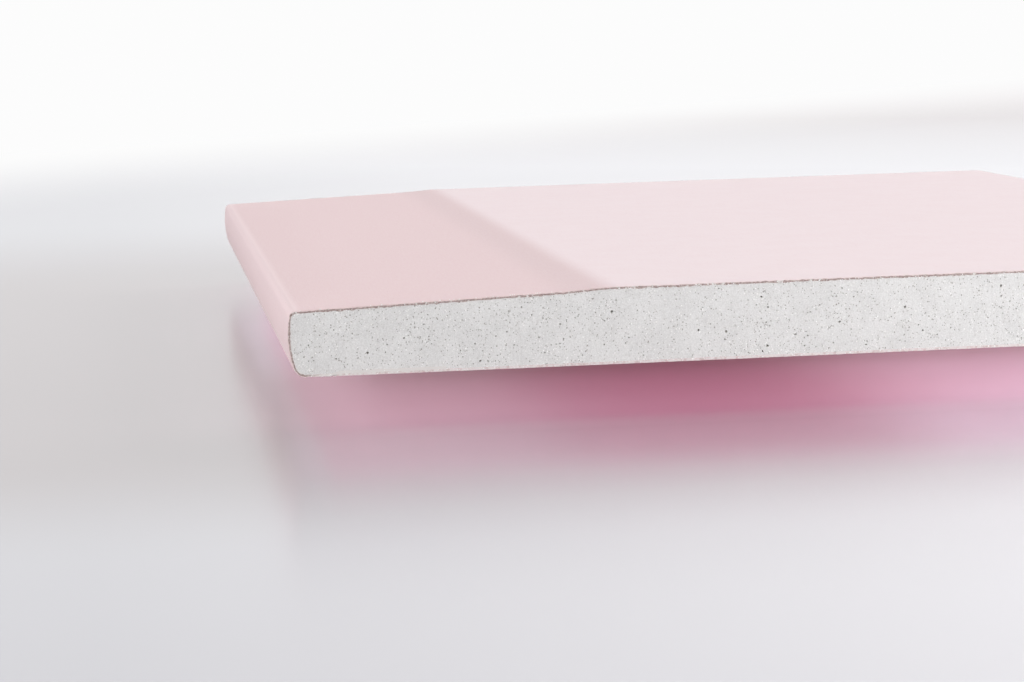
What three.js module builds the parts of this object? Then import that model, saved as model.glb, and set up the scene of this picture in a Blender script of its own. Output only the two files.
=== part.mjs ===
// A hand sample cut from a tapered-edge drywall sheet: a foamed gypsum core cast between two papers.
//
// The face paper covers the face, folds round the long edge and ends in a flap under the core.
// The back paper covers the rest of the underside and is glued over the flap, which sinks into the
// core to go under it, so that the underside is flush. The other three sides are sawn square, so
// they show the core and the cut edges of both papers.
//
// Millimetres, +Z up. The sample lies face up with its long edge along Y on the -X side, and the
// origin is the middle of its underside. Sections are drawn in their own XZ plane, with x = 0 at
// the crown of the long edge and z = 0 at the underside.

import * as THREE from "three";

// The sample over its papers.
const SAMPLE_WIDTH = 190; // from the crown of the long edge to the sawn side
const SAMPLE_LENGTH = 260; // between the sawn ends
const BOARD_THICKNESS = 12.5; // away from the taper

// The papers.
const FACE_PAPER_THICKNESS = 0.4;
const BACK_PAPER_THICKNESS = 0.4;
const FLAP_REACH = 25; // from the crown to the end of the flap under the core
const BACK_PAPER_INSET = 8; // from the crown to the back paper, with the flap bare between them
const LAP_RAMP = 1.2; // the stretch of flap that sinks to the back paper's upper side

// The taper that leaves room for joint tape: a long ramp that starts at a short, steeper shoulder.
const TAPER_WIDTH = 51; // from the crown to the full thickness
const TAPER_DEPTH = 1.9; // at the crown
const SHOULDER_WIDTH = 6;
const SHOULDER_DEPTH = 0.45;

// The long edge: a shallow crown between two rounded corners.
const CROWN_RADIUS = 18;
const CROWN_HEIGHT = 6.6; // of its widest point above the underside
const FACE_CORNER = 1.1; // reach of the rounding to both sides of the corner
const BACK_CORNER = 1.7;
const ROUND_STEPS = 6; // segments in the crown and in each corner

// Colours of the materials.
const FACE_PINK = 0xe9c6c8;
const BACK_PINK = 0xe2b4ba;
const GYPSUM_WHITE = 0xdedddb;

const CROWN_CENTRE = new THREE.Vector2(CROWN_RADIUS, CROWN_HEIGHT);
const EDGE_TOP = BOARD_THICKNESS - TAPER_DEPTH;

// The angle on the crown, sunk by an inset, at a height.
function crownAngle(inset, height) {
  return Math.PI - Math.asin((height - CROWN_HEIGHT) / (CROWN_RADIUS - inset));
}

function crownPoint(inset, angle) {
  return new THREE.Vector2(Math.cos(angle), Math.sin(angle))
    .multiplyScalar(CROWN_RADIUS - inset)
    .add(CROWN_CENTRE);
}

// A sunk line turns its corners on smaller rounds, so that the paper keeps its thickness.
function sunkCorner(corner, inset) {
  return Math.max(corner - inset, corner / 4);
}

// The line of the face paper, sunk by an inset below its outside: from the sawn side along the
// face, down the taper and round the long edge to the end of the flap.
function wrapLine(inset) {
  const face = BOARD_THICKNESS - inset;
  const shoulderFoot = new THREE.Vector2(TAPER_WIDTH - SHOULDER_WIDTH, face - SHOULDER_DEPTH);

  const crownTop = crownAngle(inset, EDGE_TOP - inset);
  const crownFoot = crownAngle(inset, inset);
  const faceCorner = crownPoint(inset, crownTop);
  const backCorner = crownPoint(inset, crownFoot);

  const faceRound = sunkCorner(FACE_CORNER, inset);
  const backRound = sunkCorner(BACK_CORNER, inset);
  const radius = CROWN_RADIUS - inset;
  const crownStart = crownTop + faceRound / radius;
  const crownEnd = crownFoot - backRound / radius;
  const rampFoot = shoulderFoot.clone().sub(faceCorner).setLength(faceRound).add(faceCorner);
  const crownHead = crownPoint(inset, crownStart);

  const line = new THREE.Path();
  line.moveTo(SAMPLE_WIDTH, face);
  line.lineTo(TAPER_WIDTH, face);
  line.lineTo(shoulderFoot.x, shoulderFoot.y);
  line.lineTo(rampFoot.x, rampFoot.y);
  line.quadraticCurveTo(faceCorner.x, faceCorner.y, crownHead.x, crownHead.y);
  line.absarc(CROWN_CENTRE.x, CROWN_CENTRE.y, radius, crownStart, crownEnd, false);
  line.quadraticCurveTo(backCorner.x, backCorner.y, backCorner.x + backRound, backCorner.y);
  line.lineTo(BACK_PAPER_INSET - LAP_RAMP, inset);
  line.lineTo(BACK_PAPER_INSET, BACK_PAPER_THICKNESS + inset);
  line.lineTo(FLAP_REACH, BACK_PAPER_THICKNESS + inset);
  return line.getPoints(ROUND_STEPS);
}

// Draws a closed section out along Y, between the two sawn ends.
function drawnOut(section) {
  const geometry = new THREE.ExtrudeGeometry(new THREE.Shape(section), {
    depth: SAMPLE_LENGTH,
    bevelEnabled: false,
  });
  geometry.rotateX(Math.PI / 2);
  return geometry.translate(-SAMPLE_WIDTH / 2, SAMPLE_LENGTH / 2, 0);
}

function piece(name, section, color, roughness) {
  const material = new THREE.MeshStandardMaterial({ color, roughness, metalness: 0 });
  const mesh = new THREE.Mesh(drawnOut(section), material);
  mesh.name = name;
  return mesh;
}

function facePaper() {
  const outside = wrapLine(0);
  const inside = wrapLine(FACE_PAPER_THICKNESS).reverse();
  return piece("face_paper", [...outside, ...inside], FACE_PINK, 0.85);
}

// The core fills the wrap and reaches down past the flap's end to the back paper.
function gypsumCore() {
  const underWrap = wrapLine(FACE_PAPER_THICKNESS);
  const onBackPaper = [
    new THREE.Vector2(FLAP_REACH, BACK_PAPER_THICKNESS),
    new THREE.Vector2(SAMPLE_WIDTH, BACK_PAPER_THICKNESS),
  ];
  return piece("gypsum_core", [...underWrap, ...onBackPaper], GYPSUM_WHITE, 0.95);
}

function backPaper() {
  const section = [
    new THREE.Vector2(BACK_PAPER_INSET, 0),
    new THREE.Vector2(SAMPLE_WIDTH, 0),
    new THREE.Vector2(SAMPLE_WIDTH, BACK_PAPER_THICKNESS),
    new THREE.Vector2(BACK_PAPER_INSET, BACK_PAPER_THICKNESS),
  ];
  return piece("back_paper", section, BACK_PINK, 0.9);
}

const drywallSample = new THREE.Group();
drywallSample.add(gypsumCore(), facePaper(), backPaper());

export default drywallSample;
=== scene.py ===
import math
import random
from bisect import bisect_right
from itertools import accumulate, pairwise

import bmesh
import bpy
from mathutils import Matrix, Vector, noise
from mathutils.geometry import delaunay_2d_cdt


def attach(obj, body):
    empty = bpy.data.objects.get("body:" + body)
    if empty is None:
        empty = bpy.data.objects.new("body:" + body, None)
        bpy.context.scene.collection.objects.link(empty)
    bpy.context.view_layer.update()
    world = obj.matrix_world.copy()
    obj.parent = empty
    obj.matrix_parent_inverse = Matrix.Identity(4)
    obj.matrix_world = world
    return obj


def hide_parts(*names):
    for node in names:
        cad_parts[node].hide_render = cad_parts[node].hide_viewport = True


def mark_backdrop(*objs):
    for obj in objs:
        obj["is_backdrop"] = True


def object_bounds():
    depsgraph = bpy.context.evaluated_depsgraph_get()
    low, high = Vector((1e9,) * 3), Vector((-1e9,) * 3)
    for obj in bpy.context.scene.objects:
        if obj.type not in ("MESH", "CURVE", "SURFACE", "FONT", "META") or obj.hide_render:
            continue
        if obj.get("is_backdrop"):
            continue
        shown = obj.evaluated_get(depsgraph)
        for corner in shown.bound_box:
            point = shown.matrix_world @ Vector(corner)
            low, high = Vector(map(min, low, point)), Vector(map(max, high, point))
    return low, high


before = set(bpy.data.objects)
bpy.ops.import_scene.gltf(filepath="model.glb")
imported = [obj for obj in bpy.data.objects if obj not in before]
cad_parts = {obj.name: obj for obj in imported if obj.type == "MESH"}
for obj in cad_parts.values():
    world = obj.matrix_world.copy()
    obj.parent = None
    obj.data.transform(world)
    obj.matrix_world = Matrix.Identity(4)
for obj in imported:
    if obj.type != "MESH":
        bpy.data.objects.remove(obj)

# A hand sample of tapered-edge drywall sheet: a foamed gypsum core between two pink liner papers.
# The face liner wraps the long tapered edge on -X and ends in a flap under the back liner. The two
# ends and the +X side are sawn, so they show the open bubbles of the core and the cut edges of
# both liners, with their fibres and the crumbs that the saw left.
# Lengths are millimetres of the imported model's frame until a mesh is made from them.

MM = 0.001

cad_low, cad_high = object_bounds()

# The sample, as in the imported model.
SAMPLE_WIDTH = 190.0  # from the crown of the long edge to the sawn side
SAMPLE_LENGTH = 260.0
BOARD_THICKNESS = 12.5
LINER_THICKNESS = 0.4
FLAP_REACH = 25.0
BACK_LINER_INSET = 8.0
LAP_RAMP = 1.2
TAPER_WIDTH = 51.0
TAPER_DEPTH = 1.9
SHOULDER_WIDTH = 6.0
SHOULDER_DEPTH = 0.45
CROWN_RADIUS = 18.0
CROWN_HEIGHT = 6.6
FACE_CORNER = 1.1
BACK_CORNER = 1.7

HALF_WIDTH = SAMPLE_WIDTH / 2
HALF_LENGTH = SAMPLE_LENGTH / 2
LAP_START = BACK_LINER_INSET - HALF_WIDTH
SHOULDER_TOP = TAPER_WIDTH - HALF_WIDTH

# How the saw left it.
SAWN_GYPSUM_DEPTH = 0.26  # of the gypsum behind the sample's ends, where the liners stand proud
LINER_SETBACK = 0.12  # of a cut liner's edge, past which its torn fibres reach
LINER_RAG = 0.14  # of that edge's unevenness
BUBBLE_SEED = 41
FIBRE_SEED = 7

SAWN_END = HALF_LENGTH - SAWN_GYPSUM_DEPTH
SAWN_SIDE = HALF_WIDTH - SAWN_GYPSUM_DEPTH


# --- The section across the board ---


def spaced(start, end, parts):
    """The places that divide a stretch into even parts, without its ends."""
    return [start + (end - start) * n / parts for n in range(1, parts)]


def bent(start, corner, end, steps):
    """A bend from start to end that leaves both legs of the corner smoothly."""
    points = []
    for step in range(steps + 1):
        t = step / steps
        points.append(start * (1 - t) ** 2 + corner * (2 * t * (1 - t)) + end * t**2)
    return points


def rounded(before, corner, after, reach, steps):
    """A corner between two legs, bent over a reach of both of them."""
    start = corner + (before - corner).normalized() * reach
    end = corner + (after - corner).normalized() * reach
    return bent(start, corner, end, steps)


def crown_point(inset, angle):
    radius = CROWN_RADIUS - inset
    return Vector((CROWN_RADIUS + radius * math.cos(angle), CROWN_HEIGHT + radius * math.sin(angle)))


def crown_angle(inset, height):
    return math.pi - math.asin((height - CROWN_HEIGHT) / (CROWN_RADIUS - inset))


def wrap_line(inset):
    """The face liner's line, sunk by an inset, from the sawn side round the long edge to the flap's end."""
    radius = CROWN_RADIUS - inset
    face = BOARD_THICKNESS - inset
    top_angle = crown_angle(inset, face - TAPER_DEPTH)
    foot_angle = crown_angle(inset, inset)
    face_round = max(FACE_CORNER - inset, FACE_CORNER / 4)
    back_round = max(BACK_CORNER - inset, BACK_CORNER / 4)
    crown_start = top_angle + face_round / radius
    crown_end = foot_angle - back_round / radius

    sawn = Vector((SAMPLE_WIDTH, face))
    shoulder_top = Vector((TAPER_WIDTH, face))
    shoulder_foot = Vector((TAPER_WIDTH - SHOULDER_WIDTH, face - SHOULDER_DEPTH))
    face_corner = crown_point(inset, top_angle)
    before_crown = face_corner + (shoulder_foot - face_corner).normalized() * face_round
    back_corner = crown_point(inset, foot_angle)
    after_crown = back_corner + Vector((back_round, 0))
    lap_foot = Vector((BACK_LINER_INSET - LAP_RAMP, inset))
    lap_top = Vector((BACK_LINER_INSET, LINER_THICKNESS + inset))
    flap_end = Vector((FLAP_REACH, LINER_THICKNESS + inset))

    # The shoulder is firm at its top and soft at its foot.
    firm = 1.0
    soft = 2.4
    lap = 0.4
    line = [sawn]
    line += rounded(sawn, shoulder_top, shoulder_foot, firm, 6)
    line += rounded(shoulder_top, shoulder_foot, face_corner, soft, 8)
    line += bent(before_crown, face_corner, crown_point(inset, crown_start), 10)
    line += [crown_point(inset, angle) for angle in spaced(crown_start, crown_end, 22)]
    line += bent(crown_point(inset, crown_end), back_corner, after_crown, 12)
    line += rounded(after_crown, lap_foot, lap_top, lap, 4)
    line += rounded(lap_foot, lap_top, flap_end, lap, 4)
    line.append(flap_end)
    return [Vector((point.x - HALF_WIDTH, point.y)) for point in line]


def lengths_along(line):
    return list(accumulate(((after - before).length for before, after in pairwise(line)), initial=0.0))


# --- Mesh helpers ---


def roughly(x, y, size, layer):
    """Smooth noise from -1 to 1 over a size in millimetres; each layer is a pattern of its own."""
    return noise.noise(Vector((x / size, y / size, layer * 17.3)))


def triangulated(points, rim_count, seams=()):
    """Triangles inside an anticlockwise rim, which is the first of the points, with seams kept as edges."""
    flat = [Vector(point) for point in points]
    rim = list(range(rim_count))
    _, _, triangles, origins, _, regions = delaunay_2d_cdt(flat, list(seams), [rim], 1, 1e-6)
    numbers = [origin[0] for origin in origins]
    # A triangle in a notch of the rim lies in no region.
    return [[numbers[n] for n in triangle] for triangle, region in zip(triangles, regions) if region]


def closed_piece(name, corners, faces, finishes, mark, marks, sharp, cut_from=None):
    """A closed solid from corners in millimetres, each with a mark on it, welded where its parts meet,
    with its faces outwards. The faces past a number are cut ones, with the second finish."""
    shape = bmesh.new()
    layer = shape.verts.layers.float.new(mark)
    verts = [shape.verts.new(corner * MM) for corner in corners]
    for vert, value in zip(verts, marks):
        vert[layer] = value
    for number, face in enumerate(faces):
        made = shape.faces.new([verts[corner] for corner in face])
        made.smooth = True
        made.material_index = int(cut_from is not None and number >= cut_from)
    bmesh.ops.remove_doubles(shape, verts=shape.verts[:], dist=1e-4 * MM)
    bmesh.ops.recalc_face_normals(shape, faces=shape.faces[:])
    mesh = meshed(name, shape)
    mesh.set_sharp_from_angle(angle=math.radians(sharp))
    return placed(name, mesh, *finishes)


def meshed(name, shape):
    mesh = bpy.data.meshes.new(name)
    shape.to_mesh(mesh)
    shape.free()
    return mesh


def placed(name, data, *finishes):
    """A new object in the scene, and its finishes if it is a mesh."""
    for finish in finishes:
        data.materials.append(finish)
    made = bpy.data.objects.new(name, data)
    bpy.context.scene.collection.objects.link(made)
    return made


# --- Liner papers ---

# How finely a liner is drawn.
PLIES = 4
RIM_STEP = 0.3  # between its points along a sawn end
SIDE_PARTS = 866  # of its edge on the sawn side
MILL_EDGE_PARTS = 40
SHORTEST_FLAT = 2.0  # of its section's straight stretches; what is shorter belongs to a bend
BEND_ROWS = (0.45, 0.95, 1.8, 3.4, 6.5, 12, 22)  # of the points on a bend, from a sawn end


def cut_depth(s, y, ply):
    """How far a ply ends behind the cut: each has a torn, fibrous line of its own."""
    broad = 0.5 + 0.5 * roughly(s, y, 2.1, 3)
    fine = 0.5 + 0.5 * roughly(s, y, 0.5, 11 + ply)
    hairy = 0.5 + 0.5 * roughly(s, y, 0.22, 23 + ply)
    return LINER_SETBACK + LINER_RAG * (0.25 * broad + 0.45 * fine + 0.3 * hairy)


def edge_sink(s, y, distance, press):
    """The saw presses a liner's edge in a little, unevenly, over the last millimetre or so."""
    reach = 1.6
    if distance > reach:
        return 0.0
    uneven = 0.5 + 0.7 * roughly(s, y, 0.8, 31) + 0.75 * roughly(s, y, 0.3, 37)
    return press * (1 - distance / reach) ** 2 * max(0.0, uneven)


def liner_points(stations):
    """Points inside an unrolled liner, further apart the further they are from a cut, and on no bend."""
    whole = stations[-1]
    inner = []
    spacing = 0.45
    near = 0.42
    while near < HALF_LENGTH:
        far = near + 2.2 * spacing if spacing < 14 else HALF_LENGTH + 1
        for row in range(1, int(SAMPLE_LENGTH / spacing)):
            y = -HALF_LENGTH + row * spacing
            for column in range(1, int(whole / spacing)):
                s = column * spacing
                distance = min(HALF_LENGTH - abs(y), s)
                if distance >= far:
                    break
                after = bisect_right(stations, s)
                start, end = stations[after - 1 : after + 1]
                clear = min(s - start, end - s) >= 0.3 * spacing and whole - s >= 0.4 * spacing
                if distance >= near and clear and end - start >= SHORTEST_FLAT:
                    inner.append((s, y))
        near = far
        spacing *= 2
    return inner


def liner(name, outside, inside, finishes, press, glued=0.0):
    """A liner paper as one closed sheet: unrolled as length along the section and place along Y,
    it has a fine, ragged edge where it was sawn and a straight one where the mill slit it. The saw
    presses it in, but not where its last length is glued under another liner."""
    stations = lengths_along(outside)
    whole = stations[-1]
    bends = [
        at
        for before, at, after in zip(stations, stations[1:], stations[2:])
        if min(at - before, after - at) < SHORTEST_FLAT
    ]

    def place(s, y, depth):
        after = min(max(bisect_right(stations, s), 1), len(stations) - 1)
        t = (s - stations[after - 1]) / (stations[after] - stations[after - 1])
        out = outside[after - 1].lerp(outside[after], t)
        at = out.lerp(inside[after - 1].lerp(inside[after], t), depth)
        return Vector((at.x, y, at.y))

    def loose(s):
        """1 where the paper is free to give, and 0 where it is glued down."""
        return min(max((whole - glued - s) / 2.0, 0.0), 1.0) if glued else 1.0

    def sunk(s, y, distance):
        return edge_sink(s, y, distance, press) * loose(s) / LINER_THICKNESS

    def hanging(s, y):
        """The innermost ply hangs over the core's arris here and there."""
        ragged = roughly(s, y, 0.9, 41) + 0.7 * roughly(s, y, 0.3, 43)
        return 1.6 * press * loose(s) * max(0.0, ragged) / LINER_THICKNESS if glued else 0.0

    # The rim: front cut, slit edge, rear cut and sawn side's cut, as (s, y, way in for s and y).
    along = spaced(0.0, whole, round(whole / RIM_STEP))
    along = [s for s in along if all(abs(s - at) > 0.09 for at in bends)]
    along = [*sorted(along + bends), whole]
    rim = [(0.0, -HALF_LENGTH, 1, 1)]
    rim += [(s, -HALF_LENGTH, 0, 1) for s in along]
    rim += [(whole, y, 0, 0) for y in spaced(-HALF_LENGTH, HALF_LENGTH, MILL_EDGE_PARTS)]
    rim += [(s, HALF_LENGTH, 0, -1) for s in reversed(along)]
    rim += [(0.0, HALF_LENGTH, 1, -1)]
    rim += [(0.0, y, 1, 0) for y in reversed(spaced(-HALF_LENGTH, HALF_LENGTH, SIDE_PARTS))]

    # Rows of points on the bends, joined by seams from cut to cut.
    inner = liner_points(stations)
    bend_rows = [-HALF_LENGTH + distance for distance in BEND_ROWS]
    bend_rows += [20.0 * n for n in range(-5, 6)]
    bend_rows += [HALF_LENGTH - distance for distance in reversed(BEND_ROWS)]
    rim_number = {(s, y): number for number, (s, y, _, _) in enumerate(rim)}
    seams = []
    for s in bends:
        first = len(rim) + len(inner)
        row = range(first, first + len(bend_rows))
        seams += pairwise([rim_number[(s, -HALF_LENGTH)], *row, rim_number[(s, HALF_LENGTH)]])
        inner += [(s, y) for y in bend_rows]

    corners = []
    marks = []
    faces = []
    rims = []
    for ply in range(PLIES):
        depth = ply / (PLIES - 1)
        first = len(corners)
        rims.append(range(first, first + len(rim)))
        edge = []
        for s, y, in_s, in_y in rim:
            behind = cut_depth(s, y, ply)
            edge.append((s + in_s * behind, y + in_y * behind))
        for s, y in edge:
            innermost = ply == PLIES - 1
            at = 1.0 + hanging(s, y) if innermost else min(depth + sunk(s, y, 0.0) * (1 - depth), 0.97)
            corners.append(place(s, y, at))
        if ply in (0, PLIES - 1):
            for s, y in inner:
                sink = sunk(s, y, min(HALF_LENGTH - abs(y), s)) if ply == 0 else 0.0
                corners.append(place(s, y, depth + sink))
            triangles = triangulated(edge + inner, len(rim), seams)
            faces += [[first + corner for corner in triangle] for triangle in triangles]
        marks += [depth] * (len(corners) - first)
    cut_from = len(faces)
    for upper, lower in pairwise(rims):
        faces += zip(upper, [*upper[1:], upper[0]], [*lower[1:], lower[0]], lower)
    return closed_piece(name, corners, faces, finishes, "ply", marks, sharp=38.0, cut_from=cut_from)


# --- Foamed core ---

# Bubbles open in the mesh: how many to the square centimetre, smallest and largest radius.
BUBBLE_KINDS = ((6, 0.15, 0.26), (20, 0.1, 0.15), (95, 0.055, 0.1))
# How finely the core's outline is drawn.
SKIN_STEP = 0.4  # between its points across the board
LENGTH_PARTS = 650
HEIGHT_PARTS = 34


def bubble_crowding(x, z, side):
    """Where the foam is open: from 0 to 1, in clouds of a few millimetres."""
    cloud = 0.55 + 0.6 * roughly(x, z, 6.5, 51 + side) + 0.5 * roughly(x, z, 2.2, 57 + side)
    return min(1.0, max(0.08, cloud))


def at_a_mouth(cells, x, z, radius, times, gap):
    """Whether a place is nearer to a bubble's mouth than a number of times both radii and a gap."""
    return any(
        math.hypot(x - other_x, z - other_z) < times * (radius + other) + gap
        for dx in (-1, 0, 1)
        for dz in (-1, 0, 1)
        for other_x, other_z, other in cells.get((math.floor(x) + dx, math.floor(z) + dz), ())
    )


def sawn_face(chance, outline, outline_room, side):
    """One sawn face of the core, drawn flat: its points as (x, z, depth below the face, mark), its
    triangles and its bubbles' mouths as (x, z, radius), clear of each other. The outline's points come
    first and stay where they are."""
    low = [min(point[axis] for point in outline) for axis in (0, 1)]
    high = [max(point[axis] for point in outline) for axis in (0, 1)]
    area = (high[0] - low[0]) * (high[1] - low[1]) / 100
    mouths = []
    cells = {}
    for per_square_centimetre, smallest, largest in BUBBLE_KINDS:
        for _ in range(int(area * per_square_centimetre)):
            x = chance.uniform(low[0], high[0])
            z = chance.uniform(low[1], high[1])
            radius = smallest + (largest - smallest) * chance.random() ** 2
            keep = chance.random() <= bubble_crowding(x, z, side) and outline_room(x, z) >= radius + 0.22
            if keep and not at_a_mouth(cells, x, z, radius, 1.25, 0.05):
                cells.setdefault((math.floor(x), math.floor(z)), []).append((x, z, radius))
                mouths.append((x, z, radius))

    points = [(x, z, 0.0, 0.0) for x, z in outline]
    for x, z, radius in mouths:
        big = radius > 0.1
        count = 8 if big else 6
        deep = radius * chance.uniform(1.5, 3.2)
        turn = chance.uniform(0, math.tau)
        squash = chance.uniform(0.72, 1.0)
        lean = chance.uniform(0, math.pi)
        # Rings round the bubble, as reach and depth in shares of its own, and mark.
        rings = [(1.0, 0.0, 0.35), (0.8, 0.62, 1.0)]
        if big:
            rings.insert(0, (1.35, 0.0, 0.0))
        for reach, depth, mark in rings:
            for corner in range(count):
                angle = turn + math.tau * corner / count
                uneven = 1 + 0.14 * chance.uniform(-1, 1) * (reach > 0.9)
                u = radius * reach * uneven * math.cos(angle)
                v = radius * reach * uneven * math.sin(angle) * squash
                spot_x = x + u * math.cos(lean) - v * math.sin(lean)
                spot_z = z + u * math.sin(lean) + v * math.cos(lean)
                points.append((spot_x, spot_z, depth * deep + 0.012 * chance.uniform(-1, 1), mark))
        points.append((x, z, deep, 1.0))

    # Between the bubbles the face waves a little, with a point in about every square millimetre.
    for column in range(int(high[0] - low[0])):
        for row in range(int(high[1] - low[1])):
            x = low[0] + column + 0.5 + chance.uniform(-0.42, 0.42)
            z = low[1] + row + 0.5 + chance.uniform(-0.42, 0.42)
            if outline_room(x, z) >= 0.3 and not at_a_mouth(cells, x, z, 0.0, 1.5, 0.08):
                points.append((x, z, 0.03 * roughly(x, z, 3.0, 71 + side), 0.0))
    return points, triangulated([point[:2] for point in points], len(outline)), mouths


def chip(at, along, layer):
    """The saw crumbles the core's arrises here and there."""
    broken = 0.16 * max(0.0, roughly(at, along, 0.9, layer))
    return broken + 0.05 * max(0.0, roughly(at, along, 0.35, layer + 3))


def chipped(x, y, z):
    """A point on the core's outline, moved in by what the saw broke off there."""
    in_y = 0.0
    in_x = 0.0
    at_end = abs(abs(y) - SAWN_END) < 1e-3
    at_side = abs(x - SAWN_SIDE) < 1e-3
    if at_end:
        in_y = chip(x, z, 81 if y < 0 else 87)
    if at_side:
        in_x = chip(y, z, 93)
    if at_end and at_side:
        in_y += 0.12 + 0.1 * roughly(z, y, 0.8, 97)
        in_x += 0.12 + 0.1 * roughly(z, y, 0.8, 99)
    return Vector((x - in_x, y - math.copysign(in_y, y), z))


def foamed_core(finish):
    """The core: a lengthwise skin under the liners and three sawn faces full of open bubbles. Gives the
    places of the bubbles' mouths too, each with its radius."""
    chance = random.Random(BUBBLE_SEED)
    under_wrap = wrap_line(LINER_THICKNESS)
    top = under_wrap[0].y
    skin = [Vector((SAWN_SIDE, top)), *under_wrap[1:]]
    skin += [Vector((x, LINER_THICKNESS)) for x in (FLAP_REACH - HALF_WIDTH, SAWN_SIDE)]
    line = []
    for before, after in pairwise(skin):
        pieces = max(1, round((after - before).length / SKIN_STEP))
        line += [before.lerp(after, n / pieces) for n in range(pieces)]
    line.append(skin[-1])
    along = [-SAWN_END, *spaced(-SAWN_END, SAWN_END, LENGTH_PARTS), SAWN_END]
    heights = spaced(LINER_THICKNESS, top, HEIGHT_PARTS)

    # The skin, unrolled.
    unrolled = list(zip(lengths_along(line), line))
    rim = [(s, spot, along[0]) for s, spot in unrolled]
    rim += [(*unrolled[-1], y) for y in along[1:]]
    rim += [(s, spot, along[-1]) for s, spot in reversed(unrolled[:-1])]
    rim += [(*unrolled[0], y) for y in reversed(along[1:-1])]
    corners = [chipped(spot.x, y, spot.y) for _, spot, y in rim]
    marks = [0.0] * len(rim)
    faces = triangulated([(s, y) for s, _, y in rim], len(rim))
    mouths = []

    sides = list(pairwise([*skin, skin[0]]))

    def end_room(x, z):
        """Distance to the end's outline, which is needed only where it is short."""
        if x > SHOULDER_TOP + 1:
            return min(SAWN_SIDE - x, z - LINER_THICKNESS, top - z)
        nearest = 9.0
        inside = False
        for before, after in sides:
            span = after - before
            t = ((x - before.x) * span.x + (z - before.y) * span.y) / span.length_squared
            spot = before.lerp(after, min(1.0, max(0.0, t)))
            nearest = min(nearest, math.hypot(x - spot.x, z - spot.y))
            if (before.y > z) != (after.y > z):
                if x < before.x + (z - before.y) / (after.y - before.y) * (after.x - before.x):
                    inside = not inside
        return nearest if inside else -nearest

    def side_room(y, z):
        return min(y + SAWN_END, SAWN_END - y, z - LINER_THICKNESS, top - z)

    def saw(outline, room, side, place):
        """Adds a sawn face, which is placed in the board by a function of its flat points."""
        points, triangles, open_bubbles = sawn_face(chance, outline, room, side)
        mouths.extend((Vector(place(u, z, 0.0)), radius) for u, z, radius in open_bubbles)
        first = len(corners)
        for number, (u, z, depth, mark) in enumerate(points):
            spot = place(u, z, depth)
            corners.append(chipped(*spot) if number < len(outline) else Vector(spot))
            marks.append(mark)
        faces.extend([first + corner for corner in triangle] for triangle in triangles)

    end_outline = [(spot.x, spot.y) for spot in line] + [(SAWN_SIDE, height) for height in heights]
    saw(end_outline, end_room, 0, lambda x, z, depth: (x, depth - SAWN_END, z))
    saw(end_outline, end_room, 1, lambda x, z, depth: (x, SAWN_END - depth, z))
    side_outline = [(y, LINER_THICKNESS) for y in along]
    side_outline += [(along[-1], height) for height in heights]
    side_outline += [(y, top) for y in reversed(along)]
    side_outline += [(along[0], height) for height in reversed(heights)]
    saw(side_outline, side_room, 2, lambda y, z, depth: (SAWN_SIDE - depth, y, z))
    return closed_piece("foamed_core", corners, faces, [finish], "bubble", marks, sharp=50.0), mouths


# --- Nodes ---


def linear(colour):
    """An sRGB hex colour as linear RGBA."""
    channels = []
    for place in (1, 3, 5):
        value = int(colour[place : place + 2], 16) / 255
        channels.append(value / 12.92 if value <= 0.04045 else ((value + 0.055) / 1.055) ** 2.4)
    return (*channels, 1.0)


def adder(tree):
    """The function that adds a node to a tree, with its settings and its inputs, set or linked, and gives
    one of its outputs. A kind of node without its family is a shader's. Inputs go by name or number, or
    in their own order."""

    def add(kind, inputs=(), gives=0, **settings):
        made = tree.nodes.new(kind if "Node" in kind else "ShaderNode" + kind)
        for setting, value in settings.items():
            setattr(made, setting, value)
        for name, value in inputs.items() if isinstance(inputs, dict) else enumerate(inputs):
            if isinstance(value, bpy.types.NodeSocket):
                tree.links.new(value, made.inputs[name])
            elif isinstance(value, str) and value.startswith("#"):
                made.inputs[name].default_value = linear(value)
            else:
                made.inputs[name].default_value = value
        return made.outputs[gives] if made.outputs else made

    return add


# --- Crumbs and fibres along the cuts ---


def growing_tree(name, sizes):
    """A tree of geometry nodes with a mesh coming in, named sizes, a seed and a finish."""
    tree = bpy.data.node_groups.new(name, "GeometryNodeTree")
    tree.interface.new_socket("Geometry", in_out="OUTPUT", socket_type="NodeSocketGeometry")
    numbers = [(size, "Float") for size in sizes]
    for socket, kind in (("Geometry", "Geometry"), *numbers, ("Seed", "Int"), ("Finish", "Material")):
        tree.interface.new_socket(socket, in_out="INPUT", socket_type="NodeSocket" + kind)
    return tree, adder(tree), tree.nodes.new("NodeGroupInput").outputs


def grown(name, bed, tree, values):
    """The plain mesh that a tree grows on a bed. What would leave the sample's own block is taken off."""
    carrier = placed(name, bed)
    modifier = carrier.modifiers.new(name, "NODES")
    modifier.node_group = tree
    for socket in tree.interface.items_tree:
        if socket.in_out == "INPUT" and socket.name in values:
            modifier[socket.identifier] = values[socket.name]
    evaluated = carrier.evaluated_get(bpy.context.evaluated_depsgraph_get())
    mesh = bpy.data.meshes.new_from_object(evaluated)
    carrier.modifiers.clear()
    carrier.data = mesh
    mesh.name = name
    shape = bmesh.new()
    shape.from_mesh(mesh)
    outside = [
        vert
        for vert in shape.verts
        if any(not low <= value <= high for value, low, high in zip(vert.co, cad_low, cad_high))
    ]
    gone = set()
    while outside:
        vert = outside.pop()
        if vert not in gone:
            gone.add(vert)
            outside += [edge.other_vert(vert) for edge in vert.link_edges]
    bmesh.ops.delete(shape, geom=list(gone), context="VERTS")
    for face in shape.faces:
        face.material_index = 0
    shape.to_mesh(mesh)
    shape.free()
    mesh.materials.clear()
    mesh.materials.append(values["Finish"])
    return carrier


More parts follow.
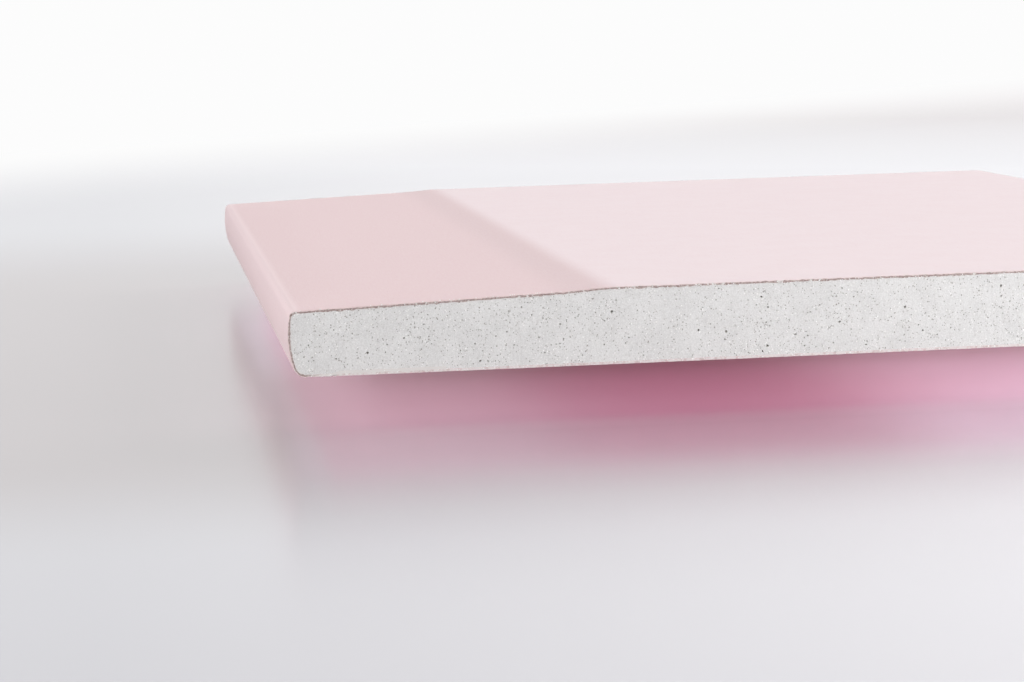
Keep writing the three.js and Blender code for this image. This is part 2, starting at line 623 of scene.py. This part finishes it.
def crumb_tree():
    """Knobbly gypsum crumbs, scattered over the bed's faces."""
    tree, add, given = growing_tree("gypsum crumbs", ("Per square metre", "Smallest", "Largest"))
    seed = {"Seed": given["Seed"]}
    vectors = {"data_type": "FLOAT_VECTOR"}
    scatter = {"Mesh": given["Geometry"], "Density": given["Per square metre"], **seed}
    spots = add("GeometryNodeDistributePointsOnFaces", scatter)
    crumb = add("GeometryNodeMeshIcoSphere", {"Radius": 1.0, "Subdivisions": 1})
    turn = add("FunctionNodeRandomValue", {0: (0, 0, 0), 1: (math.tau,) * 3, **seed}, **vectors)
    rotation = add("FunctionNodeEulerToRotation", {"Euler": turn})
    chunky = add("FunctionNodeRandomValue", {0: (0.6, 0.55, 0.5), 1: (1.2, 1.0, 0.9), **seed}, **vectors)
    size = add("FunctionNodeRandomValue", {2: given["Smallest"], 3: given["Largest"], **seed}, gives=1)
    scale = add("VectorMath", {0: chunky, "Scale": size}, operation="SCALE")
    strewn = {"Points": spots, "Instance": crumb, "Rotation": rotation, "Scale": scale}
    crumbs = add("GeometryNodeInstanceOnPoints", strewn)
    loose = add("GeometryNodeRealizeInstances", {"Geometry": crumbs})
    # A noise as fine as a crumb moves its corners, so that no two crumbs are alike.
    knobs = add("TexNoise", {"Scale": 9000.0, "Detail": 0.0}, gives=1)
    centred = add("VectorMath", (knobs, (0.5, 0.5, 0.5)), operation="SUBTRACT")
    push = add("VectorMath", {0: centred, "Scale": given["Largest"]}, operation="SCALE")
    knobbly = add("GeometryNodeSetPosition", {"Geometry": loose, "Offset": push})
    finished = add("GeometryNodeSetMaterial", {"Geometry": knobbly, "Material": given["Finish"]})
    add("NodeGroupOutput", {"Geometry": finished})
    return tree


def fibre_tree():
    """Bent paper fibres along the bed's edges, which stick out the way that its outward attribute points."""
    tree, add, given = growing_tree("paper fibres", ("Apart", "Length", "Thickness", "Spread"))
    seed = {"Seed": given["Seed"]}
    path = add("GeometryNodeMeshToCurve", {"Mesh": given["Geometry"]})
    roots = add("GeometryNodeResampleCurve", {"Curve": path, "Length": given["Apart"]}, mode="LENGTH")
    # One fibre, drawn with a length of 1 and scaled to size where it grows.
    bow = {"Resolution": 4, "Start": (-0.3, 0, 0), "Middle": (0.45, 0.3, 0), "End": (1.0, -0.1, 0.15)}
    spine = add("GeometryNodeCurveQuadraticBezier", bow)
    section = add("GeometryNodeCurvePrimitiveCircle", {"Resolution": 3, "Radius": 0.5}, mode="RADIUS")
    along = add("GeometryNodeSplineParameter")
    taper = add("Math", (along, -0.7, 1.0), operation="MULTIPLY_ADD")
    slimness = add("Math", (given["Thickness"], given["Length"]), operation="DIVIDE")
    width = add("Math", (taper, slimness), operation="MULTIPLY")
    drawn = {"Curve": spine, "Profile Curve": section, "Scale": width, "Fill Caps": True}
    fibre = add("GeometryNodeCurveToMesh", drawn)
    outward = add("GeometryNodeInputNamedAttribute", {"Name": "outward"}, data_type="FLOAT_VECTOR")
    stray = add("FunctionNodeRandomValue", {0: (-1, -1, -1), 1: (1, 1, 1), **seed}, data_type="FLOAT_VECTOR")
    loose = add("VectorMath", {0: stray, "Scale": given["Spread"]}, operation="SCALE")
    way = add("VectorMath", (outward, loose), operation="ADD")
    rotation = add("FunctionNodeAlignRotationToVector", {"Vector": way}, axis="X")
    growth = add("FunctionNodeRandomValue", {2: 0.35, 3: 1.0, **seed}, gives=1)
    scale = add("Math", (growth, given["Length"]), operation="MULTIPLY")
    planted = {"Points": roots, "Instance": fibre, "Rotation": rotation, "Scale": scale}
    fibres = add("GeometryNodeInstanceOnPoints", planted)
    shade = add("FunctionNodeRandomValue", seed, gives=1)
    marked = {"Geometry": fibres, "Name": "shade", "Value": shade}
    shaded = add("GeometryNodeStoreNamedAttribute", marked, data_type="FLOAT", domain="INSTANCE")
    single = add("GeometryNodeRealizeInstances", {"Geometry": shaded})
    finished = add("GeometryNodeSetMaterial", {"Geometry": single, "Material": given["Finish"]})
    add("NodeGroupOutput", {"Geometry": finished})
    return tree


def crumb_bed(strips):
    """Flat strips for crumbs to lie on, each given by two ends and the way across in millimetres."""
    corners = []
    for strip in strips:
        start, end, across = (Vector(part) for part in strip)
        corners += [start, end, end + across, start + across]
    faces = [(first, first + 1, first + 2, first + 3) for first in range(0, len(corners), 4)]
    mesh = bpy.data.meshes.new("crumb bed")
    mesh.from_pydata([corner * MM for corner in corners], [], faces)
    return mesh


def fibre_bed(line):
    """A liner's line on its three cuts: both sawn ends and the sawn side. Its outward attribute holds
    the way that the fibres stick out."""
    reach = HALF_LENGTH - LINER_SETBACK - 0.6 * LINER_RAG
    side_x = line[0].x - LINER_SETBACK - 0.6 * LINER_RAG
    paths = [([Vector((spot.x, way * reach, spot.y)) for spot in line], (0, way, 0)) for way in (-1, 1)]
    paths.append(([Vector((side_x, y, line[0].y)) for y in (-reach, reach)], (1, 0, 0)))
    corners = []
    edges = []
    outwards = []
    for path, way in paths:
        edges += pairwise(range(len(corners), len(corners) + len(path)))
        corners += path
        outwards += way * len(path)
    mesh = bpy.data.meshes.new("fibre bed")
    mesh.from_pydata([corner * MM for corner in corners], edges, [])
    mesh.attributes.new("outward", "FLOAT_VECTOR", "POINT").data.foreach_set("vector", outwards)
    return mesh


# --- Finishes ---

# What a node takes to mix the colours of its inputs 6 and 7, and to ease between two values. A
# MapRange's inputs are a value, the two that it runs between, and what it makes of those.
RGBA = {"gives": 2, "data_type": "RGBA"}
EASED = {"interpolation_type": "SMOOTHSTEP"}


def new_finish(name, values):
    """A finish with its shader's own values, and the places on the piece in millimetres."""
    finish = bpy.data.materials.new(name)
    finish.use_nodes = True
    for socket, value in values.items():
        finish.node_tree.nodes["Principled BSDF"].inputs[socket].default_value = value
    add = adder(finish.node_tree)
    return finish, add, add("Mapping", {"Vector": add("TexCoord", gives=3), "Scale": (1000, 1000, 1000)})


def dressed(finish, colour, relief=None, strength=0.0, depth=0.0):
    """Gives a finish its colour, and its relief where it has one, with a depth in millimetres."""
    tree = finish.node_tree
    shader = tree.nodes["Principled BSDF"]
    tree.links.new(colour, shader.inputs["Base Color"])
    if relief:
        bump = {"Height": relief, "Strength": strength, "Distance": depth * MM}
        tree.links.new(adder(tree)("Bump", bump), shader.inputs["Normal"])
    return finish


def foamed_gypsum():
    """Foamed gypsum plaster, cast and sawn: a dead matt, chalky white with a faint cloudiness where the foam
    is denser, pricked all over by tiny bubbles, with painted shade in them and in the open ones, and dusted
    by the saw."""
    finish, add, place = new_finish("foamed gypsum, sawn", {"Roughness": 0.95, "IOR": 1.52})
    cloud = add("TexNoise", {"Vector": place, "Scale": 1 / 4.0, "Detail": 2.0})
    cloudy = add("MapRange", (cloud, 0.35, 0.65), **EASED)
    body = add("Mix", {0: cloudy, 6: "#E0E0DF", 7: "#E6E6E5"}, **RGBA)
    # The grain of the plaster is finer than a pixel, so it is drawn 0.2 mm wide.
    grain = add("TexNoise", {"Vector": place, "Scale": 1 / 0.2, "Detail": 1.0})
    grainy = add("MapRange", (grain, 0.3, 0.7), **EASED)
    chalk = add("Mix", {0: grainy, 6: "#C4C3C0", 7: "#F4F4F3"}, **RGBA)
    coloured = add("Mix", {0: 0.28, 6: body, 7: chalk}, **RGBA)
    # The teeth ran up and down the face and left faint upright marks, 0.3 mm wide and 3 mm long.
    upright = add("Mapping", {"Vector": place, "Scale": (1 / 0.3, 1 / 0.3, 1 / 3.0)})
    teeth = add("TexNoise", {"Vector": upright, "Scale": 1.0, "Detail": 1.0})
    streak = add("MapRange", (teeth, 0.55, 0.75, 0.0, 0.18))
    coloured = add("Mix", {0: streak, 6: coloured, 7: "#C9C8C5"}, **RGBA)

    # Bubbles too small to open in the mesh: spheres strewn through the plaster, cut by the saw, drawn as
    # grey specks of painted shade, each with a near-white spot beside it, a broken-up crumb with a painted
    # highlight on its rim. They crowd together in patches a few millimetres wide.
    relief = grain
    drift = add("TexNoise", {"Vector": place, "Scale": 1 / 3.5, "Detail": 1.0})
    crowded = add("MapRange", (drift, 0.35, 0.65, -0.42, 0.42))
    # Apart, radius and share of the places that hold one.
    for apart, radius, share in ((0.46, 0.1, 0.5), (0.75, 0.15, 0.44)):
        marks = []
        for shift in ((0, 0, 0), (0.11, 0.11, 0.09)):
            beside = add("Mapping", {"Vector": place, "Location": shift})
            strewn = add("TexVoronoi", {"Vector": beside, "Scale": 1 / apart})
            odds = add("Math", (strewn.node.outputs["Color"], crowded), operation="ADD")
            held = add("Math", (odds, 1 - share), operation="GREATER_THAN")
            edge = radius / apart
            near = add("MapRange", (strewn, 0.55 * edge, edge, 1.0, 0.0))
            marks.append(add("Math", (near, held), operation="MULTIPLY"))
        painted_pore_shade, crumb_and_rim_highlight = marks
        # The painted highlight and crumb beside each speck, then the speck's painted shade.
        coloured = add("Mix", {0: crumb_and_rim_highlight, 6: coloured, 7: "#FBFAF9"}, **RGBA)
        coloured = add("Mix", {0: painted_pore_shade, 6: coloured, 7: "#9F9C96"}, **RGBA)
        relief = add("Math", (painted_pore_shade, -1.2, relief), operation="MULTIPLY_ADD")
        relief = add("Math", (crumb_and_rim_highlight, 0.6, relief), operation="MULTIPLY_ADD")
    # Painted shade: the open bubbles are coloured darker the deeper their walls go.
    bubble = add("Attribute", gives=2, attribute_name="bubble")
    inside = add("MapRange", (bubble, 0.3, 1.0))
    coloured = add("Mix", {0: inside, 6: coloured, 7: "#A9A6A0"}, **RGBA)
    return dressed(finish, coloured, relief, strength=0.5, depth=0.05)


def gypsum_dust():
    """Loose gypsum crumbs: the same plaster, freshly broken, so a cleaner white."""
    finish, add, place = new_finish("gypsum crumbs, broken", {"Roughness": 0.9, "IOR": 1.52})
    tint = add("TexNoise", {"Vector": place, "Scale": 1 / 0.3, "Detail": 0.0})
    return dressed(finish, add("Mix", {0: tint, 6: "#F4F3F2", 7: "#FDFDFC"}, **RGBA))


def liner_paper(name, roughness, pale, deep, fleck, edge_tones_and_shade=()):
    """Multi-ply liner paper, dyed in its outer ply: a soft pink with the cloudy formation of recycled pulp,
    fibres that lie mostly along the board, and a few darker ones. Towards the long edge it takes other
    colours: painted shade on the shoulder's slope, a darker, pinker taper that is partly the pressed paper's
    own tone and partly painted shade, and the stretched side and its rounded edge painted lighter for the
    light that falls on them."""
    finish, add, place = new_finish(name, {"Roughness": roughness, "IOR": 1.47, "Sheen Weight": 0.12})
    cloud = add("TexNoise", {"Vector": place, "Scale": 1 / 7.0, "Detail": 2.0})
    cloudy = add("MapRange", (cloud, 0.3, 0.7), **EASED)
    body = add("Mix", {0: cloudy, 6: deep, 7: pale}, **RGBA)
    if edge_tones_and_shade:
        # From the board's middle outwards: the shoulder's top, its foot and the crown.
        foot = SHOULDER_TOP - SHOULDER_WIDTH
        starts = (SHOULDER_TOP + 3.4, foot + 2.5, 2.8 - HALF_WIDTH)
        ends = (SHOULDER_TOP - 1.6, foot - 3.5, 1.0 - HALF_WIDTH)
        across = add("SeparateXYZ", {"Vector": place})
        # Each colour covers the liner beyond its place: painted shade on the shoulder, tone and painted
        # shade on the taper, painted light on the side.
        for start, end, colour in zip(starts, ends, edge_tones_and_shade):
            inner = add("MapRange", (across, end, start), **EASED)
            body = add("Mix", {0: inner, 6: colour, 7: body}, **RGBA)
    # Pulp fibres are 0.03 mm thick, finer than a pixel, so they are drawn 0.2 mm thick and 3 mm long.
    laid = add("Mapping", {"Vector": place, "Scale": (1 / 0.2, 1 / 3.0, 1 / 0.2)})
    fibre = add("TexNoise", {"Vector": laid, "Scale": 1.0, "Detail": 2.0})
    streak = add("MapRange", (fibre, 0.3, 0.7, 0.0, 0.08))
    streaked = add("Mix", {0: streak, 6: body, 7: "#FFFFFF"}, **RGBA)
    # About one dark fibre to the square centimetre, 1.5 mm long.
    strewn = add("Mapping", {"Vector": place, "Scale": (1 / 1.1, 1 / 5.0, 1 / 1.1)})
    hair = add("TexVoronoi", {"Vector": strewn, "Scale": 1.0})
    thin = add("MapRange", (hair, 0.03, 0.07, 0.55, 0.0))
    flecked = add("Mix", {0: thin, 6: streaked, 7: fleck}, **RGBA)
    relief = add("Math", (cloud, 0.15, fibre), operation="MULTIPLY_ADD")
    return dressed(finish, flecked, relief, strength=0.2, depth=0.02)


def cut_paper(name, outer, heart, dusty, dust_amount, lap=False):
    """The sawn edge of a liner: its dyed outer ply as a pale line, the undyed recycled plies below it in
    a rough, brownish mauve, and gypsum dust caught in the fibres. It has filled the cut of the flap."""
    finish, add, place = new_finish(name, {"Roughness": 0.95, "IOR": 1.47})
    ply = add("Attribute", gives=2, attribute_name="ply")
    below = add("MapRange", (ply, 0.1, 0.3), **EASED)
    matted = add("TexNoise", {"Vector": place, "Scale": 1 / 0.35, "Detail": 3.0})
    mottle = add("MapRange", (matted, 0.35, 0.68))
    plies = add("Mix", {0: mottle, 6: heart[0], 7: heart[1]}, **RGBA)
    layered = add("Mix", {0: below, 6: outer, 7: plies}, **RGBA)
    drift = add("TexNoise", {"Vector": place, "Scale": 1 / 0.6, "Detail": 2.0})
    dusted = add("MapRange", (drift, dust_amount[0], dust_amount[1]), **EASED)
    if lap:
        x_at, _, z_at = add("SeparateXYZ", {"Vector": place}).node.outputs
        past = add("MapRange", (x_at, LAP_START - 5.5, LAP_START - 2.5))
        low_down = add("MapRange", (z_at, 1.4, 1.0))
        filled = add("Math", (past, low_down), operation="MULTIPLY")
        dusted = add("Math", (dusted, filled), operation="MAXIMUM")
    coloured = add("Mix", {0: dusted, 6: layered, 7: dusty}, **RGBA)
    return dressed(finish, coloured, matted, strength=0.6, depth=0.08)


def torn_fibre(name, light, dark):
    """Fibres that the saw pulled out of a liner's edge: fuzzy, matt, dyed or brown by chance."""
    finish, add, _ = new_finish(name, {"Roughness": 0.9, "IOR": 1.47, "Sheen Weight": 0.2})
    shade = add("Attribute", gives=2, attribute_name="shade")
    return dressed(finish, add("Mix", {0: shade, 6: light, 7: dark}, **RGBA))


# --- The sample ---


gypsum = foamed_gypsum()
crumb_white = gypsum_dust()
# The shoulder's painted shade, the taper's tone with painted shade, and the side's painted light.
edge_tones_and_painted_shade = ("#DBBFC1", "#DFC1C3", "#EAD1D3")
face_pink = liner_paper("pink face liner, calendered", 0.62, "#EAD6D9", "#E9D4D7", "#B08F8C", edge_tones_and_painted_shade)
back_pink = liner_paper("pink back liner, uncoated", 0.8, "#DFA6B1", "#D89BA8", "#A4727B")
face_heart = ("#917F7B", "#C4B4AF")
face_cut = cut_paper("face liner, sawn edge", "#EAD6D5", face_heart, "#E3E0DD", (0.58, 0.71), lap=True)
back_heart = ("#CDBDBA", "#E4DAD8")
back_cut = cut_paper("back liner, sawn edge", "#E2C7CA", back_heart, "#E6E1DF", (0.35, 0.55))

face_liner = liner(
    "face_liner",
    wrap_line(0.0),
    wrap_line(LINER_THICKNESS),
    [face_pink, face_cut],
    press=0.14,
    glued=FLAP_REACH - BACK_LINER_INSET,
)
# The back liner's slit edge is skived, so that it lies flush in the lap.
back_liner = liner(
    "back_liner",
    [Vector((HALF_WIDTH, 0.0)), Vector((LAP_START - 0.85 * LAP_RAMP, 0.0))],
    [Vector((HALF_WIDTH, LINER_THICKNESS)), Vector((LAP_START, LINER_THICKNESS))],
    [back_pink, back_cut],
    press=0.03,
)
core, mouths = foamed_core(gypsum)

# Crumbs lie on the sawn faces, and thickest along their arrises.
FACE_ARRIS = 11.7  # heights where the strips along the arrises begin
BACK_ARRIS = 0.1
STRIP_FOOT = 0.6  # and those between them
core_left = 1.0 - HALF_WIDTH
taper_top = BOARD_THICKNESS - LINER_THICKNESS - TAPER_DEPTH - 0.3
on_taper = BOARD_THICKNESS - TAPER_DEPTH + 0.02
on_shoulder = BOARD_THICKNESS - SHOULDER_DEPTH + 0.02
on_face = BOARD_THICKNESS - 0.06
wide_strips = []
arris_strips = []
for way in (-1, 1):
    y = way * SAWN_END
    proud = y + way * 0.09
    lip = y + way * 0.06
    inwards = (0, -0.3 * way, 0)
    wide_strips += [
        ((core_left, y, STRIP_FOOT), (SAWN_SIDE, y, STRIP_FOOT), (0, 0, 9.6)),
        ((SHOULDER_TOP, y, 10.2), (SAWN_SIDE, y, 10.2), (0, 0, 1.7)),
    ]
    arris_strips += [
        ((SHOULDER_TOP, y, FACE_ARRIS), (SAWN_SIDE, y, FACE_ARRIS), (0, 0, 0.5)),
        ((core_left + 0.4, y, taper_top), (SHOULDER_TOP, y, 11.3), (0, 0, 0.45)),
        ((core_left + 0.6, y, BACK_ARRIS), (SAWN_SIDE, y, BACK_ARRIS), (0, 0, 0.6)),
        # Some of them cling to the paper's cut.
        ((SHOULDER_TOP, proud, 11.98), (SAWN_SIDE, proud, 11.98), (0, 0, 0.3)),
        ((core_left + 2, proud, 0.08), (SAWN_SIDE, proud, 0.08), (0, 0, 0.3)),
        # They lie thickest at the foot of the long edge.
        ((core_left + 0.1, y, 2.4), (core_left + 3.0, y, BACK_ARRIS), (0, 0, 1.1)),
        ((core_left + 0.5, y, 2.4), (core_left + 3.0, y, BACK_ARRIS), (0, 0, 1.1)),
        # Some of them lie on the paper's own edge.
        ((core_left + 0.8, lip, on_taper), (SHOULDER_TOP - 6, lip, on_shoulder), inwards),
        ((SHOULDER_TOP, lip, on_face), (SAWN_SIDE, lip, on_face), inwards),
    ]
wide_strips.append(((SAWN_SIDE, -SAWN_END, STRIP_FOOT), (SAWN_SIDE, SAWN_END, STRIP_FOOT), (0, 0, 11.3)))
for low in (BACK_ARRIS, FACE_ARRIS):
    arris_strips.append(((SAWN_SIDE, -SAWN_END, low), (SAWN_SIDE, SAWN_END, low), (0, 0, 0.5)))
# A strip a tenth of a millimetre wide lies beside each bubble's mouth.
chance = random.Random(BUBBLE_SEED + 1)
mouth_strips = []
for mouth, radius in mouths:
    along = Vector((0, 1, 0)) if mouth.x > SAWN_SIDE - 0.01 else Vector((1, 0, 0))
    turn = chance.uniform(0, math.tau)
    beside = mouth + (along * math.cos(turn) + Vector((0, 0, math.sin(turn)))) * (radius + 0.06)
    start = beside - along * 0.05 - Vector((0, 0, 0.05))
    mouth_strips.append((start, start + along * 0.1, (0, 0, 0.1)))

strew = crumb_tree()
crumbs = []
for name, strips, density, smallest, largest, seed in (
    ("gypsum_crumbs", wide_strips, 7e5, 0.06, 0.17, 3),
    ("bubble_rim_crumbs", mouth_strips, 7e7, 0.035, 0.12, 4),
    ("arris_crumbs", arris_strips, 4.2e6, 0.02, 0.14, 5),
):
    values = {"Per square metre": density, "Smallest": smallest * MM, "Largest": largest * MM}
    values |= {"Seed": seed, "Finish": crumb_white}
    crumbs.append(grown(name, crumb_bed(strips), strew, values))

fray = fibre_tree()
outer_ply = wrap_line(0.06)
crown_foot = next(number for number, point in enumerate(outer_ply) if point.y < 0.1)
face_bed = fibre_bed(outer_ply[: crown_foot + 1])
values = {"Apart": 0.13 * MM, "Length": 0.34 * MM, "Thickness": 0.06 * MM, "Spread": 1.1}
values |= {"Seed": FIBRE_SEED, "Finish": torn_fibre("face liner fibres, torn", "#FAF0EE", "#D2B8B4")}
face_fibres = grown("face_liner_fibres", face_bed, fray, values)
back_bed = fibre_bed([Vector((x, 0.12)) for x in (HALF_WIDTH, LAP_START)])
values = {"Apart": 0.13 * MM, "Length": 0.4 * MM, "Thickness": 0.07 * MM, "Spread": 1.0}
values |= {"Seed": FIBRE_SEED + 1, "Finish": torn_fibre("back liner fibres, torn", "#EADCDB", "#D3B7B8")}
back_fibres = grown("back_liner_fibres", back_bed, fray, values)

for piece, slot in (
    (core, "gypsum"),
    (face_liner, "face_paper"),
    (back_liner, "back_paper"),
    *((crumb, "gypsum") for crumb in crumbs),
    (face_fibres, "face_paper"),
    (back_fibres, "back_paper"),
):
    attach(piece, "root")
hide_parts("gypsum_core")
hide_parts("face_paper")
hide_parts("back_paper")


# --- Table, light and camera ---

# The sample lies on a low rest, set back from its edges, over a pale table with a soft gloss.
REST_HEIGHT = 9.0
REST_SIDE = 70.0
REST_BACK = (20.0, 105.0)  # along Y
TABLE_REACH = 15000.0
ROOM_WHITE = 0.975


def seen_white(add):
    """1 for what the camera sees by itself, in gloss or through glass, and 0 for what lights the sample."""
    ray = add("LightPath").node.outputs
    seen = add("Math", (ray["Is Camera Ray"], ray["Is Glossy Ray"]), operation="MAXIMUM")
    return add("Math", (seen, ray["Is Transmission Ray"]), operation="MAXIMUM")


def pale_table():
    """Pale laminate with a soft gloss, its colour painted with a pool of light and a shadow round the
    sample. It ends behind the sample, askew, in a white room, and all round it fades to that white."""
    finish, add, place = new_finish("pale laminate", {"Roughness": 0.2, "IOR": 1.5})
    x_at, y_at, _ = add("SeparateXYZ", {"Vector": place}).node.outputs
    across = add("Math", (x_at,), operation="ABSOLUTE")
    # A painted pool of light: the table's colour is paler in front of the sample and to its right.
    rightwards = add("MapRange", (x_at, -125.0, 0.0))
    forwards = add("MapRange", (y_at, 500.0, 100.0, 0.4, 1.0))
    painted_light_pool = add("Math", (rightwards, forwards), operation="MULTIPLY")
    tone = add("Mix", {0: painted_light_pool, 6: "#D0D0D7", 7: "#F8F6FC"}, **RGBA)
    # Round the sample lies a painted shadow, a darker colour on the table, which ends sooner behind it and
    # to its right.
    aside = add("Math", (across, 150.0), operation="SUBTRACT")
    ahead = add("Math", (y_at, -1.0, -150.0), operation="MULTIPLY_ADD")
    outside = add("CombineXYZ", (aside, ahead))
    outside = add("VectorMath", (outside, (0, 0, 0)), operation="MAXIMUM")
    gap = add("VectorMath", (outside,), gives=1, operation="LENGTH")
    clear = add("MapRange", (gap, 0.0, 85.0, 0.0, 0.8), **EASED)
    far_right = add("VectorMath", (place, (0.6, 0.8, 0)), gives=1, operation="DOT_PRODUCT")
    near = add("MapRange", (far_right, 900.0, 500.0))
    clear = add("Math", (clear, near), operation="MINIMUM")
    backwards = add("MapRange", (y_at, 120.0, 350.0), **EASED)
    backwards = add("Math", (backwards, near), operation="MINIMUM")
    clear = add("Math", (clear, backwards), operation="MAXIMUM")
    # The painted shadow's colour, mixed in where the table is not clear of it.
    tone = add("Mix", {0: clear, 6: "#B4ADAF", 7: tone}, **RGBA)
    # The painted shadow is deepest just in front of the sample, where it evens out the edge of the lamps'
    # own cast shadow, so that it has no hard edge there.
    past_end = add("MapRange", (y_at, -124.0, -138.0))
    near_end = add("MapRange", (y_at, -182.0, -142.0), **EASED)
    along_end = add("MapRange", (across, 100.0, 50.0), **EASED)
    deep = add("Math", (past_end, near_end), operation="MULTIPLY")
    deep = add("Math", (deep, along_end), operation="MULTIPLY")
    tone = add("Mix", {0: deep, 6: tone, 7: "#A0979A"}, **RGBA)
    # Where it ends.
    flat = add("VectorMath", (place, (1, 1, 0)), operation="MULTIPLY")
    away = add("VectorMath", (flat,), gives=1, operation="LENGTH")
    all_round = add("MapRange", (away, 900.0, 3000.0), **EASED)
    askew = add("VectorMath", (place, (-0.69, 0.72, 0)), gives=1, operation="DOT_PRODUCT")
    behind = add("MapRange", (askew, 400.0, 720.0), **EASED)
    beyond = add("Math", (all_round, behind), operation="MAXIMUM")
    faded = add("Math", (beyond, seen_white(add)), operation="MULTIPLY")
    white = add("Emission", {"Color": "#FFFFFF", "Strength": ROOM_WHITE})
    tree = finish.node_tree
    surface = tree.nodes["Principled BSDF"].outputs[0]
    both = add("MixShader", (faded, surface, white))
    tree.links.new(both, tree.nodes["Material Output"].inputs["Surface"])
    return dressed(finish, tone)


def slab(name, low, high, finish):
    shape = bmesh.new()
    bmesh.ops.create_cube(shape, size=1.0)
    for vert in shape.verts:
        vert.co = [MM * (a if side < 0 else b) for side, a, b in zip(vert.co, low, high)]
    bmesh.ops.bevel(shape, geom=shape.edges[:], offset=1.0 * MM, segments=3, affect="EDGES")
    return placed(name, meshed(name, shape), finish)


laminate = pale_table()
table_low = (-TABLE_REACH, -TABLE_REACH, -REST_HEIGHT - 30)
table = slab("table", table_low, (TABLE_REACH, TABLE_REACH, -REST_HEIGHT), laminate)
rest = slab("low_rest", (-REST_SIDE, REST_BACK[0], -REST_HEIGHT - 2), (REST_SIDE, REST_BACK[1], 0), laminate)
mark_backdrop(table, rest)

studio = bpy.context.scene
studio.view_settings.view_transform = "Standard"
studio.world = bpy.data.worlds.new("white room")
studio.world.use_nodes = True
room = studio.world.node_tree
add = adder(room)
dim = add("Background", {"Color": "#FBFCFF", "Strength": 0.08})
white = add("Background", {"Color": "#FFFFFF", "Strength": ROOM_WHITE})
both = add("MixShader", (seen_white(add), dim, white))
room.links.new(both, room.nodes["World Output"].inputs["Surface"])


def softbox(name, at, width, height, brightness, colour="#FFFFFF", aim=(0, 0, 0), mirrored=False):
    """A soft rectangular lamp of an even brightness, where 1 is white, seen in gloss only if mirrored."""
    light = bpy.data.lights.new(name, "AREA")
    light.shape = "RECTANGLE"
    light.size = width * MM
    light.size_y = height * MM
    light.energy = brightness * math.pi * light.size * light.size_y
    light.color = linear(colour)[:3]
    lamp = placed(name, light)
    lamp.location = Vector(at) * MM
    lamp.rotation_euler = (Vector(aim) - Vector(at)).to_track_quat("-Z", "Y").to_euler()
    lamp.visible_camera = False
    lamp.visible_glossy = mirrored


softbox("low softbox on the right", (1100, -100, 100), 800, 200, 4.0, mirrored=True)
softbox("softbox behind on the right", (900, 500, 500), 800, 500, 4.0, mirrored=True)
softbox("small softbox low in front", (270, -420, 60), 250, 120, 11.3, aim=(0, -100, 0))
softbox("softbox on the left", (-900, -200, 400), 600, 500, 5.85, mirrored=True)
softbox("softbox low behind the camera", (-120, -1100, 80), 700, 160, 5.2)
softbox("softbox overhead", (0, 0, 1500), 2200, 2200, 0.75)
softbox("softbox behind", (300, 1500, 450), 1400, 400, 5.6)
# These lie on the table and shine up, for the reflection of the sample's pink back.
for name, x, y, width, reach, brightness, colour in (
    ("glow under the taper", -70, -62, 50, 135, 0.75, "#E8FFFD"),
    ("glow under the middle", -15, -62, 60, 135, 0.38, "#FFDCEB"),
    ("glow under the sawn side", 52, -62, 75, 135, 1.02, "#EBFDFF"),
    ("near glow under the taper", -70, -102, 50, 60, 0.67, "#D0DBFF"),
    ("near glow under the middle", -15, -102, 60, 60, 0.64, "#EEC9FF"),
    ("near glow under the sawn side", 52, -102, 75, 60, 1.5, "#C2E8FF"),
    ("glow under the long edge", -83, 65, 22, 120, 1.9, "#DBF5FF"),
):
    softbox(name, (x, y, 0.3 - REST_HEIGHT), width, reach, brightness, colour, aim=(x, y, 50))

# The camera stands in front of the sawn end, a little to the sample's left, and looks down on it.
CAMERA_PLACE = (-120.5, -593.5, 58.7)
FOCAL_LENGTH = 103.79
YAW = math.radians(7.521)
PITCH = math.radians(-6.618)
ROLL = math.radians(-1.556)
ahead = Vector((math.sin(YAW) * math.cos(PITCH), math.cos(YAW) * math.cos(PITCH), math.sin(PITCH)))
level_right = Vector((math.cos(YAW), -math.sin(YAW), 0))
level_up = level_right.cross(ahead)
right = level_right * math.cos(ROLL) + level_up * math.sin(ROLL)
up = level_up * math.cos(ROLL) - level_right * math.sin(ROLL)
lens = bpy.data.cameras.new("camera")
lens.sensor_width = 36
lens.lens = FOCAL_LENGTH
lens.clip_start = 0.01
lens.clip_end = 100
camera = placed("camera", lens)
stand = Matrix((right, up, -ahead)).transposed().to_4x4()
stand.translation = Vector(CAMERA_PLACE) * MM
camera.matrix_world = stand
studio.camera = camera

low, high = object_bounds()
{"cad": [list(cad_low), list(cad_high)], "visual": [list(low), list(high)]}
